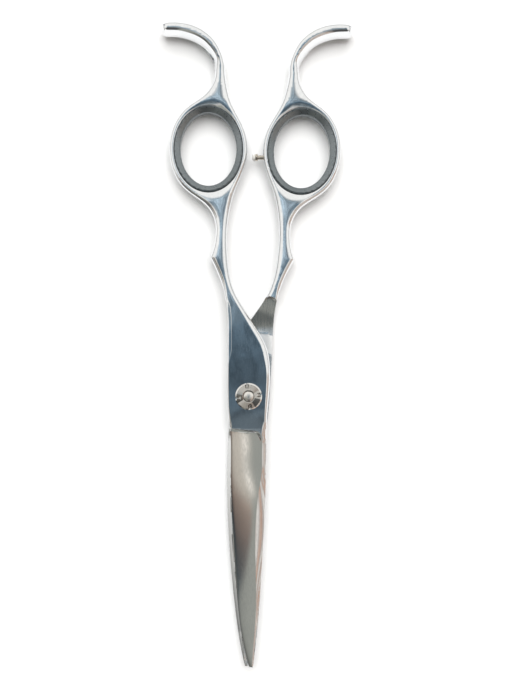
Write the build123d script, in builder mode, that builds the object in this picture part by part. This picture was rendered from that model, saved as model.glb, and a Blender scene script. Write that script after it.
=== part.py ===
"""Hair cutting shears: two forged halves that cross at a pivot with a tension dial.

Frame: the origin is on the pivot axis at the plane where the two halves meet. +Z points out of
the front face, +Y runs to the handles and -Y to the tips. All lengths are millimetres.
"""
from build123d import *
import os
from math import cos, radians, sin

os.makedirs("parts", exist_ok=True)

# ---------------------------------------------------------------- driving dimensions
HALF_THICK = 2.5            # thickness of one half at the pivot block
FACE_GAP = 0.02             # each inner face stands this far from the meeting plane
HANDLE_LEAN = 1.5           # degrees that the pair of handles leans towards +X
EDGE_ROUND = 0.9            # rounding along the outline of block and handle
LONG_EDGE = 20.0            # outline edges longer than this get that rounding
SWEEP_RADIUS = 31.7         # inner faces are cleared to this radius round the pivot
SWEEP_CORNER = 1.2          # rounded foot of the step at that radius

RING_CENTRE = (14.6, 76.7)  # finger ring, in the handle's own upright frame
RING_BORE = (10.7, 13.35)   # half-widths of the oval bore
RING_TILT = -2.0            # degrees
BORE_LIP = 0.35             # height of the rib inside the bore that holds the insert
BORE_LIP_WIDTH = 1.4

INSERT_WALL = 1.95          # radial thickness of a finger insert
INSERT_HEIGHT = 5.6
INSERT_PLAY = 0.02
INSERT_CHAMFER = 0.35

BOLT_DIA = 4.6
BOLT_FLATS = 3.9            # across the two flats that stop the bolt from turning
BOLT_HEAD_DIA = 7.6
BOLT_HEAD_THICK = 0.9
BOLT_SLOT = (4.7, 0.8, 0.4)     # screwdriver slot in the head: length, width, depth
BOLT_DOME = 0.5             # rounding of the bolt's threaded end
THREAD_DIA = 3.4
RUN_PLAY = 0.04             # radial clearance of running fits
FIT_PLAY = 0.02             # radial clearance of fixed fits
BUSH_DIA = 6.0
SPRING_DIA = 7.2
SPRING_POCKET_DEPTH = 0.7
SPRING_THICK = 0.25
SPRING_RISE = 0.2           # height of the disc spring's cone
PLATE_THICK = 0.25
PLATE_NOTCHES = 12          # click notches round the plate
PLATE_NOTCH_RADIUS = 0.35
WASHER_HOLE_PLAY = 0.15     # radial clearance of thin washers round the thread
WASHER_DIA = 9.8
WASHER_THICK = 0.26

DIAL_DIA = 8.3
DIAL_BASE = 2.65            # underside of the dial
DIAL_RIM = 3.75             # top of the dial's straight side
DIAL_TOP = 4.25
DIAL_TURN = 9.0             # degrees that the notches stand turned from the axes
DIAL_FACETS = 8
DIAL_CREST = 0.4            # flat land round the thread at the top of the facets
NOTCH_WIDTH = 1.1
NOTCH_DEPTH = 1.9

BUMPER_Y = 74.7
BUMPER_TIP = 1.1            # X of the cap's free end
BUMPER_CAP = (2.2, 0.95)    # diameter, length
BUMPER_FLANGE = (2.2, 0.75)
BUMPER_NECK_DIA = 1.35
BUMPER_SOCKET = 0.5         # how far the stem reaches into the cap
CAP_ROUND = 0.4
BUMPER_END = 5.75           # X where the stem ends inside the ring's wall

# Handle outline in its own upright frame (the back half's handle; the front one is its mirror).
SHANK_INNER = [(-5.9, -10.4), (-6.3, 0.0), (-6.3, 9.9), (-4.9, 16.0), (-1.4, 21.8), (2.2, 27.2), (5.3, 32.5),
               (7.8, 44.0), (8.1, 50.0), (7.6, 57.0), (6.0, 64.0), (3.4, 71.0), (2.4, 77.0),
               (4.1, 84.5), (7.6, 91.0), (9.3, 97.0), (9.9, 101.5)]
SHANK_HEEL = [(5.8, -10.4), (6.5, 0.0), (6.9, 15.0), (7.5, 27.0), (8.6, 32.5), (10.6, 37.8), (13.2, 43.0)]
RING_OUTER = [(13.2, 43.0), (12.4, 45.5), (11.8, 49.0), (11.9, 53.6), (14.1, 58.3), (18.6, 61.9),
              (23.0, 65.5), (26.1, 71.6), (26.8, 78.7), (25.1, 85.1), (21.3, 90.0), (16.5, 93.6),
              (13.9, 97.4), (13.3, 101.5)]
# Tang: centre line, then width and height of its section at each end and at the finger paddle.
TANG_LINE = [(11.6, 99.0), (12.3, 105.5), (15.6, 110.4), (21.0, 113.5), (26.0, 114.3), (29.8, 114.0)]
TANG_CORNER_SHARE = 0.45    # corner radius of a tang section, as a share of its width
TANG_SECTIONS = [(0.0, 3.3, 4.8), (0.12, 3.4, 4.9), (0.3, 3.7, 5.4), (0.45, 4.1, 6.2),
                 (0.6, 4.3, 6.9), (0.75, 4.3, 7.3), (0.9, 4.1, 7.4), (0.97, 3.5, 6.8), (1.0, 2.1, 5.4)]

# Blades: y, x of the cutting edge, x of the ridge, x of the spine, thickness at the ridge.
FRONT_BLADE = [(-9.4, -5.95, 4.9, 5.6, 2.2), (-23.0, -5.6, 4.2, 5.4, 2.15),
               (-37.5, -5.25, 2.3, 4.9, 2.1), (-50.5, -4.5, 2.1, 4.2, 1.9),
               (-64.0, -3.55, 2.3, 3.4, 1.6), (-76.0, -2.0, 1.6, 2.35, 1.15),
               (-84.9, 0.05, 1.0, 1.35, 0.6)]
BACK_BLADE = [(-9.4, 5.5, -5.45, -6.15, 2.2), (-23.0, 4.8, -5.2, -6.8, 2.15),
              (-37.5, 4.2, -3.9, -6.6, 2.1), (-50.5, 3.3, -3.6, -5.85, 1.9),
              (-64.0, 2.2, -3.5, -4.6, 1.6), (-76.0, 0.7, -2.3, -3.0, 1.15),
              (-84.7, -0.4, -0.8, -1.15, 0.6)]
EDGE_THICK = 0.18           # thickness of a blade at its cutting edge
SPINE_SHARE = 0.45          # thickness at the spine, as a share of that at the ridge
HOLLOW = 0.12               # depth of the hollow-ground inner face


# ---------------------------------------------------------------- helpers
def lean(point, side):
    """Turn a point of the upright handle frame into the shears' frame; side is -1 at the front."""
    x, y = side * point[0], point[1]
    c, s = cos(radians(HANDLE_LEAN)), sin(radians(HANDLE_LEAN))
    return (x * c + y * s, y * c - x * s)


def lean_all(points, side):
    return [lean(point, side) for point in points]


def tang_points(side):
    """Centre line of a tang: its root leans with the handle, and both tangs point level from there."""
    root = lean(TANG_LINE[0], side)
    reach = [(x - TANG_LINE[0][0], y - TANG_LINE[0][1]) for x, y in TANG_LINE]
    return [(root[0] + side * x, root[1] + y) for x, y in reach]


def ring_plane(side, z=0.0):
    """Plane at the centre of a finger ring, its axes along the oval's axes."""
    x, y = lean(RING_CENTRE, side)
    turn = radians(side * RING_TILT - HANDLE_LEAN)
    return Plane(origin=(x, y, z), x_dir=(cos(turn), sin(turn), 0), z_dir=(0, 0, 1))


def blade_section(y, edge, ridge, spine, thick, face):
    """Closed profile across a blade; face is +1 for the half above the meeting plane."""
    base = FACE_GAP
    middle = (edge + spine) / 2
    with BuildSketch(Plane(origin=(0, y, 0), x_dir=(1, 0, 0), z_dir=(0, -1, 0))) as section:
        with BuildLine():
            ThreePointArc((edge, face * base), (middle, face * (base + HOLLOW)), (spine, face * base))
            Polyline((spine, face * base), (spine, face * SPINE_SHARE * thick),
                     (ridge, face * thick), (edge, face * (base + EDGE_THICK)), (edge, face * base))
        make_face()
    return section.sketch


def shears_half(side, blade):
    """One forged half: side -1 is the front one, on +Z with its handle at -X; +1 is the back one."""
    face = -side
    low = -HALF_THICK
    with BuildPart() as half:
        with BuildSketch(Plane.XY.offset(low)):
            with BuildLine():
                inner = Spline(*lean_all(SHANK_INNER, side))
                outer = Spline(*lean_all(RING_OUTER, side))
                heel = Spline(*lean_all(SHANK_HEEL, side))
                Line(inner @ 1, outer @ 1)
                Line(heel @ 0, inner @ 0)
            make_face()
        extrude(amount=2 * HALF_THICK)
        sides = half.edges().filter_by(Plane.XY).filter_by(lambda edge: edge.length > LONG_EDGE)
        fillet(sides, EDGE_ROUND)

        with BuildLine(mode=Mode.PRIVATE) as tang_path:
            Spline(*tang_points(side))
        path = tang_path.line
        for share, width, height in TANG_SECTIONS:
            with BuildSketch(Plane(origin=path @ share, x_dir=(0, 0, 1), z_dir=path % share)):
                RectangleRounded(height, width, TANG_CORNER_SHARE * width)
        loft()

        # Clear the inner face round the pivot, so that the halves cross.
        with BuildSketch(Plane.XZ):
            with BuildLine():
                floor = face * FACE_GAP
                top = -face * 2 * HALF_THICK
                foot = floor - face * SWEEP_CORNER
                Polyline((0, top), (0, floor), (SWEEP_RADIUS - SWEEP_CORNER, floor))
                RadiusArc((SWEEP_RADIUS - SWEEP_CORNER, floor), (SWEEP_RADIUS, foot),
                          -face * SWEEP_CORNER)
                Polyline((SWEEP_RADIUS, foot), (SWEEP_RADIUS, top), (0, top))
            make_face()
        revolve(axis=Axis.Z, mode=Mode.SUBTRACT)

        # Blade.
        for station in blade:
            add(blade_section(*station, face))
        loft()

        # Finger ring bore with the rib that holds the insert.
        with BuildSketch(ring_plane(side, low)):
            Ellipse(*RING_BORE)
        extrude(amount=2 * HALF_THICK, mode=Mode.SUBTRACT)
        with BuildSketch(ring_plane(side, -BORE_LIP_WIDTH / 2)):
            Ellipse(*RING_BORE)
            Ellipse(RING_BORE[0] - BORE_LIP, RING_BORE[1] - BORE_LIP, mode=Mode.SUBTRACT)
        extrude(amount=BORE_LIP_WIDTH)
    return half


# ---------------------------------------------------------------- the two halves
with BuildPart() as front_half:
    add(shears_half(-1, FRONT_BLADE).part)
    with Locations((0, 0, HALF_THICK)):
        Hole(BUSH_DIA / 2 + FIT_PLAY, depth=HALF_THICK)
        Hole(SPRING_DIA / 2 + 0.1, depth=SPRING_POCKET_DEPTH)
front_half.part.label = "front_half"
export_step(front_half.part, "parts/front_half.step")

with BuildPart() as back_half:
    add(shears_half(1, BACK_BLADE).part)
    with BuildSketch(Plane.XY.offset(-HALF_THICK)):
        Circle(BOLT_DIA / 2 + FIT_PLAY)
        Rectangle(2 * BOLT_DIA, BOLT_FLATS + 2 * FIT_PLAY, mode=Mode.INTERSECT)
    extrude(amount=HALF_THICK, mode=Mode.SUBTRACT)
    with BuildSketch(Plane.XY.offset(-HALF_THICK)):
        Circle(BOLT_HEAD_DIA / 2 + FIT_PLAY)
    extrude(amount=BOLT_HEAD_THICK + FIT_PLAY, mode=Mode.SUBTRACT)
    with BuildSketch():
        Circle(WASHER_DIA / 2 + FIT_PLAY)
    extrude(amount=-WASHER_THICK - FIT_PLAY, mode=Mode.SUBTRACT)
    with BuildSketch(Plane(origin=(BUMPER_END, BUMPER_Y, 0), z_dir=(-1, 0, 0))):
        Circle(BUMPER_NECK_DIA / 2 + FIT_PLAY)
    extrude(amount=BUMPER_END - BUMPER_TIP, mode=Mode.SUBTRACT)
back_half.part.label = "back_half"
export_step(back_half.part, "parts/back_half.step")


# ---------------------------------------------------------------- finger inserts
def finger_insert(side):
    """Soft oval insert, grooved to sit over the bore's rib."""
    outer = [half_width - INSERT_PLAY for half_width in RING_BORE]
    inner = [half_width - INSERT_WALL for half_width in RING_BORE]
    groove = [half_width - BORE_LIP - INSERT_PLAY for half_width in RING_BORE]
    groove_width = BORE_LIP_WIDTH + 2 * INSERT_PLAY
    with BuildPart() as insert:
        with BuildSketch(ring_plane(side, -INSERT_HEIGHT / 2)):
            Ellipse(*outer)
        extrude(amount=INSERT_HEIGHT)
        with BuildSketch(ring_plane(side, -INSERT_HEIGHT / 2)):
            Ellipse(*inner)
        extrude(amount=INSERT_HEIGHT, mode=Mode.SUBTRACT)
        chamfer(insert.edges().filter_by(Plane.XY), INSERT_CHAMFER)
        with BuildSketch(ring_plane(side, -groove_width / 2)):
            Ellipse(*outer)
            Ellipse(*groove, mode=Mode.SUBTRACT)
        extrude(amount=groove_width, mode=Mode.SUBTRACT)
    return insert


with BuildPart() as front_ring_insert:
    add(finger_insert(-1).part)
front_ring_insert.part.label = "front_ring_insert"
export_step(front_ring_insert.part, "parts/front_ring_insert.step")

with BuildPart() as back_ring_insert:
    add(finger_insert(1).part)
back_ring_insert.part.label = "back_ring_insert"
export_step(back_ring_insert.part, "parts/back_ring_insert.step")

# ---------------------------------------------------------------- closing bumper
flange_x = BUMPER_TIP + BUMPER_CAP[1] + BUMPER_FLANGE[1]
with BuildPart() as bumper_stem:
    with BuildSketch(Plane(origin=(BUMPER_END, BUMPER_Y, 0), z_dir=(-1, 0, 0))):
        Circle(BUMPER_NECK_DIA / 2)
    extrude(amount=BUMPER_END - flange_x + BUMPER_FLANGE[1] + BUMPER_SOCKET)
    with BuildSketch(Plane(origin=(flange_x, BUMPER_Y, 0), z_dir=(-1, 0, 0))):
        Circle(BUMPER_FLANGE[0] / 2)
    extrude(amount=BUMPER_FLANGE[1])
bumper_stem.part.label = "bumper_stem"
export_step(bumper_stem.part, "parts/bumper_stem.step")

with BuildPart() as bumper_cap:
    cap_plane = Plane(origin=(BUMPER_TIP + BUMPER_CAP[1], BUMPER_Y, 0), z_dir=(-1, 0, 0))
    with BuildSketch(cap_plane):
        Circle(BUMPER_CAP[0] / 2)
    extrude(amount=BUMPER_CAP[1])
    fillet(bumper_cap.edges().sort_by(Axis.X)[0], CAP_ROUND)
    with BuildSketch(cap_plane):
        Circle(BUMPER_NECK_DIA / 2)
    extrude(amount=BUMPER_SOCKET, mode=Mode.SUBTRACT)
bumper_cap.part.label = "bumper_cap"
export_step(bumper_cap.part, "parts/bumper_cap.step")

# ---------------------------------------------------------------- pivot
with BuildPart() as pivot_bolt:
    with BuildSketch(Plane.XY.offset(-HALF_THICK)):
        Circle(BOLT_HEAD_DIA / 2)
    extrude(amount=BOLT_HEAD_THICK)
    with BuildSketch(Plane.XY.offset(-HALF_THICK)):
        Circle(BOLT_DIA / 2)
        Rectangle(2 * BOLT_DIA, BOLT_FLATS, mode=Mode.INTERSECT)
    extrude(amount=HALF_THICK)
    with BuildSketch():
        Circle(BOLT_DIA / 2)
    extrude(amount=HALF_THICK - SPRING_POCKET_DEPTH)
    with BuildSketch():
        Circle(THREAD_DIA / 2)
    extrude(amount=DIAL_TOP)
    fillet(pivot_bolt.edges().sort_by(Axis.Z)[-1], BOLT_DOME)
    with BuildSketch(Plane.XY.offset(-HALF_THICK)):
        Rectangle(BOLT_SLOT[0], BOLT_SLOT[1])
    extrude(amount=BOLT_SLOT[2], mode=Mode.SUBTRACT)
pivot_bolt.part.label = "pivot_bolt"
export_step(pivot_bolt.part, "parts/pivot_bolt.step")

with BuildPart() as glide_washer:
    with BuildSketch(Plane.XY.offset(-WASHER_THICK)):
        Circle(WASHER_DIA / 2)
        Circle(BOLT_DIA / 2 + RUN_PLAY, mode=Mode.SUBTRACT)
    extrude(amount=WASHER_THICK)
glide_washer.part.label = "glide_washer"
export_step(glide_washer.part, "parts/glide_washer.step")

with BuildPart() as pivot_bush:
    with BuildSketch(Plane.XY.offset(FACE_GAP)):
        Circle(BUSH_DIA / 2)
        Circle(BOLT_DIA / 2 + RUN_PLAY, mode=Mode.SUBTRACT)
    extrude(amount=HALF_THICK - SPRING_POCKET_DEPTH - FACE_GAP)
pivot_bush.part.label = "pivot_bush"
export_step(pivot_bush.part, "parts/pivot_bush.step")

spring_foot = HALF_THICK - SPRING_POCKET_DEPTH + FIT_PLAY
spring_hole = THREAD_DIA / 2 + WASHER_HOLE_PLAY
with BuildPart() as disc_spring:
    with BuildSketch(Plane.XZ):
        with BuildLine():
            rim = SPRING_DIA / 2
            Polyline((rim, spring_foot), (rim, spring_foot + SPRING_THICK),
                     (spring_hole, spring_foot + SPRING_RISE + SPRING_THICK),
                     (spring_hole, spring_foot + SPRING_RISE), (rim, spring_foot))
        make_face()
    revolve(axis=Axis.Z)
disc_spring.part.label = "disc_spring"
export_step(disc_spring.part, "parts/disc_spring.step")

plate_base = spring_foot + SPRING_RISE + SPRING_THICK + RUN_PLAY
with BuildPart() as click_plate:
    with BuildSketch(Plane.XY.offset(plate_base)):
        Circle(SPRING_DIA / 2)
        Circle(spring_hole, mode=Mode.SUBTRACT)
        with PolarLocations(SPRING_DIA / 2, PLATE_NOTCHES):
            Circle(PLATE_NOTCH_RADIUS, mode=Mode.SUBTRACT)
    extrude(amount=PLATE_THICK)
click_plate.part.label = "click_plate"
export_step(click_plate.part, "parts/click_plate.step")

with BuildPart() as tension_dial:
    turned_x = (cos(radians(DIAL_TURN)), sin(radians(DIAL_TURN)), 0)
    dial_plane = Plane(origin=(0, 0, DIAL_RIM), x_dir=turned_x, z_dir=(0, 0, 1))
    with BuildSketch(dial_plane):
        RegularPolygon(DIAL_DIA / 2 + 0.5, DIAL_FACETS)
    with BuildSketch(dial_plane.offset(DIAL_TOP - DIAL_RIM)):
        RegularPolygon(THREAD_DIA / 2 + DIAL_CREST, DIAL_FACETS)
    loft()
    with BuildSketch(Plane.XY.offset(DIAL_RIM)):
        Circle(DIAL_DIA / 2)
    extrude(amount=DIAL_TOP - DIAL_RIM, mode=Mode.INTERSECT)
    with BuildSketch(Plane.XY.offset(DIAL_BASE)):
        Circle(DIAL_DIA / 2)
    extrude(amount=DIAL_RIM - DIAL_BASE)
    with BuildSketch(dial_plane.offset(DIAL_BASE - DIAL_RIM)):
        with PolarLocations(DIAL_DIA / 2, 4):
            SlotCenterToCenter(2 * (NOTCH_DEPTH - NOTCH_WIDTH / 2), NOTCH_WIDTH)
    extrude(amount=DIAL_TOP - DIAL_BASE, mode=Mode.SUBTRACT)
    with Locations((0, 0, DIAL_TOP)):
        Hole(THREAD_DIA / 2 + RUN_PLAY)
tension_dial.part.label = "tension_dial"
export_step(tension_dial.part, "parts/tension_dial.step")
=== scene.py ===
"""Hair cutting shears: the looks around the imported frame.

The two forged halves and the finger inserts are built here as fine meshes, from outlines that are cut
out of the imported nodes. Lengths inside the mesh code are millimetres; objects are made in metres.
"""
import math

import bmesh
import bpy
import numpy as np
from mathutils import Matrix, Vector
from mathutils.geometry import delaunay_2d_cdt
from mathutils.bvhtree import BVHTree


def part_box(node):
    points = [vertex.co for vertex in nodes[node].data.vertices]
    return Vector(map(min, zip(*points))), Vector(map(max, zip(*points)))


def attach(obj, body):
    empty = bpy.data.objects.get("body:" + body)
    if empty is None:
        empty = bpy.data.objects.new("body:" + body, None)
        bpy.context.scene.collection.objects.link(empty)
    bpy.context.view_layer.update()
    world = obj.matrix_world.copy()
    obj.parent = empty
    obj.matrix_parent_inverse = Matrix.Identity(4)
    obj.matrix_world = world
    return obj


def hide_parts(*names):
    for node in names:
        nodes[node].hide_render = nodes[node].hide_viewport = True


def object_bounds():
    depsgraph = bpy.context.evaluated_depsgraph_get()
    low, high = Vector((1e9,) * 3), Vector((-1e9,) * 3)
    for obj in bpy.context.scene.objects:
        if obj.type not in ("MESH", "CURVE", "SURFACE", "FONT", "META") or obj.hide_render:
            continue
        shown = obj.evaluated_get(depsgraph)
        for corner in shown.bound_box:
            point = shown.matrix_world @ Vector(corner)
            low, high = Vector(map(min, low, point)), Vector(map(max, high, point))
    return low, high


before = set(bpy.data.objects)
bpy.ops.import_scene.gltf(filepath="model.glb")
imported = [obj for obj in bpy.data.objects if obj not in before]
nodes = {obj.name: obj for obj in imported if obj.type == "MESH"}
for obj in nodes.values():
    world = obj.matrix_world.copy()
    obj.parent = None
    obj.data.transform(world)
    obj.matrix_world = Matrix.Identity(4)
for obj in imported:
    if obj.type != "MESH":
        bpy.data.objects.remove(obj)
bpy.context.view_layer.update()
scene = bpy.context.scene
MM = 0.001


# ---- sizes read from the frame
def node_box(name):
    low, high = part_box(name)
    return np.array(low) / MM, np.array(high) / MM


HALF_THICK = -node_box("pivot_bolt")[0][2]
FACE_GAP = node_box("pivot_bush")[0][2]
POCKET_RADIUS = node_box("disc_spring")[1][0] + 0.1
POCKET_FLOOR = node_box("disc_spring")[0][2] - 0.02
BUSH_RADIUS = node_box("pivot_bush")[1][0] + 0.02
HEAD_RADIUS = node_box("pivot_bolt")[1][0] + 0.02
HEAD_THICK = 0.92
SHANK_RADIUS = 2.32
WASHER_RADIUS = node_box("glide_washer")[1][0] + 0.02
WASHER_DEPTH = -node_box("glide_washer")[0][2] + 0.02
TANG_HEIGHT = node_box("front_half")[1][2]
INSERT_HALF_HEIGHT = node_box("front_ring_insert")[1][2]
SWEEP_RADIUS = 31.7         # the inner faces are cleared to here round the pivot
SHOULDER_Y = -10.6          # where the ground face of the blade begins
SHOULDER_CORNER = 2.4       # radius at the corner of the ground face
SPINE_BEVEL = 1.25          # least width of the bevel along the spine, next to the block
TANG_FLANK = 1.6            # width of the flank along a tang's concave side
TANG_CREST = 0.45           # half-width of the bend at the top of that flank
TANG_STEEP = math.radians(50)   # slope at the top of the flank
TANG_CURVE = 7.4            # radius of its bulge
FUNNEL = math.tan(math.radians(30))     # slope of the finger inserts towards the hole
DIAL_CHAMFER = 0.4          # width of the tension dial's chamfered rim, which carries a painted highlight
STEP = 0.35                 # spacing of points along an outline
BODY_CUT, BODY_END = 1.2, -7.5      # height of the cut for handle and block, and the y where it ends
BLADE_CUT, BLADE_START = 0.17, -12.5    # height of the cut for the blade, and the y where it starts
CORNER_TURN = math.radians(22)      # a turn above this is a corner of the outline
CHORD_TURN = math.radians(0.35)     # a turn below this is a point along a chord
PAIR_INNER, PAIR_OUTER = 0.02, 0.03     # two rings of points that make the wall of a round recess
RELIEF_START, RELIEF_WIDTH = 14.5, 6.0  # the inner faces slope away from this radius over this width
DIAL_HOLE = 1.74
NOTCH_WIDTH = 0.58          # half the width of the dial's notches
SLOT_WIDTH, SLOT_LENGTH = 0.4, 2.34     # half of each, for the slot in the bolt head
FLOOR_SIZE = 1.6            # half the side of the floor, in metres
CAMERA_HEIGHT = 300         # above the meeting plane
VIEW_HEIGHT = 219.4         # height of the picture in the meeting plane
SENSOR = 36


# ---- outlines from the frame
def cut_loops(name, height):
    """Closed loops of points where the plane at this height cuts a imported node, longest first."""
    bm = bmesh.new()
    bm.from_mesh(nodes[name].data)
    bmesh.ops.remove_doubles(bm, verts=bm.verts[:], dist=1e-6)
    bmesh.ops.bisect_plane(bm, geom=bm.verts[:] + bm.edges[:] + bm.faces[:], dist=1e-7,
                           plane_co=(0, 0, height * MM), plane_no=(0, 0, 1),
                           clear_inner=True, clear_outer=True)
    bmesh.ops.remove_doubles(bm, verts=bm.verts[:], dist=2e-6)
    loops = []
    left = set(bm.verts)
    while left:
        vert = next(iter(left))
        chain = []
        while vert is not None:
            left.discard(vert)
            chain.append(np.array(vert.co)[:2] / MM)
            around = [edge.other_vert(vert) for edge in vert.link_edges]
            vert = next((other for other in around if other in left), None)
        loops.append(np.array(chain))
    bm.free()
    return sorted(loops, key=lambda loop: -loop_length(loop))


def loop_length(loop):
    return np.linalg.norm(np.roll(loop, -1, 0) - loop, axis=1).sum()


def distances_along(points):
    return np.concatenate([[0], np.cumsum(np.linalg.norm(np.diff(points, axis=0), axis=1))])


def signed_area(loop):
    x, y = loop[:, 0], loop[:, 1]
    return 0.5 * np.sum(x * np.roll(y, -1) - y * np.roll(x, -1))


def turning(loop):
    """Turn of the loop at each of its points, in radians."""
    ahead = np.roll(loop, -1, 0) - loop
    behind = loop - np.roll(loop, 1, 0)
    cross = behind[:, 0] * ahead[:, 1] - behind[:, 1] * ahead[:, 0]
    return np.arctan2(cross, (behind * ahead).sum(1))


def natural_spline(knots, values, at):
    """Natural cubic spline through values (one row a knot), evaluated at the given places."""
    n = len(knots)
    h = np.diff(knots)
    system = np.eye(n)
    right = np.zeros_like(values)
    for i in range(1, n - 1):
        system[i, i - 1] = h[i - 1]
        system[i, i] = 2 * (h[i - 1] + h[i])
        system[i, i + 1] = h[i]
        right[i] = 6 * ((values[i + 1] - values[i]) / h[i] - (values[i] - values[i - 1]) / h[i - 1])
    bend = np.linalg.solve(system, right)
    i = np.clip(np.searchsorted(knots, at) - 1, 0, n - 2)
    a = ((knots[i + 1] - at) / h[i])[:, None]
    b = 1 - a
    width = h[i][:, None] ** 2 / 6
    return a * values[i] + b * values[i + 1] + ((a**3 - a) * bend[i] + (b**3 - b) * bend[i + 1]) * width


def fair(points):
    """A smooth, evenly spaced loop through the true points of a cut: its chord points are dropped."""
    turn = np.abs(turning(points))
    keep = turn > CHORD_TURN
    points, turn = points[keep], turn[keep]
    corners = list(np.where(turn > CORNER_TURN)[0])
    # Without corners the spline runs round once, with this many points of overlap at each end.
    overlap = 0 if corners else 6
    starts = corners or [0]
    pieces = []
    for first, last in zip(starts, starts[1:] + [starts[0] + len(points)]):
        run = points[np.arange(first - overlap, last + overlap + 1) % len(points)]
        along = distances_along(run)
        low, high = along[overlap], along[-1 - overlap]
        count = max(2, int(round((high - low) / STEP)))
        pieces.append(natural_spline(along, run, np.linspace(low, high, count, endpoint=False)))
    return np.concatenate(pieces)


def smoothstep(low, high, value):
    t = np.clip((value - low) / (high - low), 0, 1)
    return t * t * (3 - 2 * t)


def mix(a, b, t):
    return a + (b - a) * t


# ---- plan meshes
def nearest_on(loop, points):
    """Distance from each point to a closed loop, and the index of the loop's nearest point."""
    ahead = np.roll(loop, -1, 0)
    distance = np.empty(len(points))
    index = np.empty(len(points), int)
    for start in range(0, len(points), 2000):
        part = points[start:start + 2000]
        gap = ((part[:, None] - loop[None]) ** 2).sum(2)
        near = gap.argmin(1)
        best = np.sqrt(gap[np.arange(len(part)), near])
        for first in (near, (near - 1) % len(loop)):
            a, b = loop[first], ahead[first]
            span = b - a
            t = np.clip(((part - a) * span).sum(1) / np.maximum((span**2).sum(1), 1e-12), 0, 1)[:, None]
            best = np.minimum(best, np.linalg.norm(part - a - t * span, axis=1))
        distance[start:start + 2000] = best
        index[start:start + 2000] = near
    return distance, index


def inside(loop, points):
    """Which points lie inside a closed loop."""
    x1, y1 = loop[:, 0], loop[:, 1]
    x2, y2 = np.roll(x1, -1), np.roll(y1, -1)
    result = np.empty(len(points), bool)
    for start in range(0, len(points), 2000):
        part = points[start:start + 2000]
        px, py = part[:, :1], part[:, 1:]
        crosses = (y1 > py) != (y2 > py)
        with np.errstate(divide="ignore", invalid="ignore"):
            at = x1 + (py - y1) * (x2 - x1) / (y2 - y1)
        result[start:start + 2000] = (crosses & (px < at)).sum(1) % 2 == 1
    return result


def inward_normals(loop):
    along = np.roll(loop, -1, 0) - np.roll(loop, 1, 0)
    along /= np.linalg.norm(along, axis=1)[:, None]
    return np.stack([-along[:, 1], along[:, 0]], 1)


def circle(radius, count):
    angle = np.arange(count) * 2 * np.pi / count
    return radius * np.stack([np.cos(angle), np.sin(angle)], 1)


def grid(low_x, high_x, low_y, high_y, step):
    x, y = np.meshgrid(np.arange(low_x, high_x, step), np.arange(low_y, high_y, step))
    return np.column_stack([x.ravel(), y.ravel()])


def thin_out(points, spacing):
    """Drops points closer together than the spacing, keeping the earlier ones."""
    cells = {}
    kept = []
    for i, (x, y) in enumerate(points):
        key = (int(math.floor(x / spacing)), int(math.floor(y / spacing)))
        near = [cells.get((key[0] + i_x, key[1] + i_y)) for i_x in (-1, 0, 1) for i_y in (-1, 0, 1)]
        if all(j is None or math.hypot(x - points[j][0], y - points[j][1]) > spacing for j in near):
            cells[key] = i
            kept.append(i)
    return points[kept]


def plan_triangles(outer, holes, lines, free):
    """Triangulates the plan between an outline and its holes, through fixed lines and free points."""
    loops = [outer] + holes
    points = [tuple(p) for loop in loops for p in loop]
    edges = []
    base = 0
    for loop in loops:
        edges += [(base + i, base + (i + 1) % len(loop)) for i in range(len(loop))]
        base += len(loop)
    for line in lines:
        edges += [(base + i, base + i + 1) for i in range(len(line) - 1)]
        points += [tuple(p) for p in line]
        base += len(line)
    points += [tuple(p) for p in free]
    found = delaunay_2d_cdt([Vector(p) for p in points], edges, [], 0, 1e-7)
    plan = np.array([tuple(v) for v in found[0]])
    triangles = np.array([face for face in found[2] if len(face) == 3])
    middle = plan[triangles].mean(1)
    keep = inside(outer, middle)
    for hole in holes:
        keep &= ~inside(hole, middle)
    triangles = triangles[keep]
    a, b, c = plan[triangles[:, 0]], plan[triangles[:, 1]], plan[triangles[:, 2]]
    flip = np.cross(b - a, c - a) < 0
    triangles[flip] = triangles[flip][:, ::-1]
    return plan, triangles


def boundary_edges(triangles):
    """Directed edges that belong to one triangle only."""
    directed = {}
    for tri in triangles:
        for i in range(3):
            directed[(int(tri[i]), int(tri[(i + 1) % 3]))] = True
    return [edge for edge in directed if (edge[1], edge[0]) not in directed]


def new_mesh(name, verts, faces):
    mesh = bpy.data.meshes.new(name)
    mesh.from_pydata((verts * MM).tolist(), [], faces)
    return mesh


def ring_faces(rings, count, closed=True):
    """Quads between each ring of points and the next, and from the last to the first if closed."""
    faces = []
    for j in range(rings if closed else rings - 1):
        a, b = j * count, (j + 1) % rings * count
        for i in range(count):
            n = (i + 1) % count
            faces.append((a + i, b + i, b + n, a + n))
    return faces


def plate_mesh(name, plan, triangles, upper, lower, flip):
    """Closed shell between two heights over one triangulated plan."""
    count = len(plan)
    top = np.column_stack([plan, upper])
    bottom = np.column_stack([plan, lower])
    faces = [tuple(tri) for tri in triangles]
    faces += [(c + count, b + count, a + count) for a, b, c in triangles]
    faces += [(b, a, a + count, b + count) for a, b in boundary_edges(triangles)]
    if flip:
        faces = [tuple(reversed(face)) for face in faces]
    return new_mesh(name, np.concatenate([top, bottom]), [tuple(int(i) for i in face) for face in faces])


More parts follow.
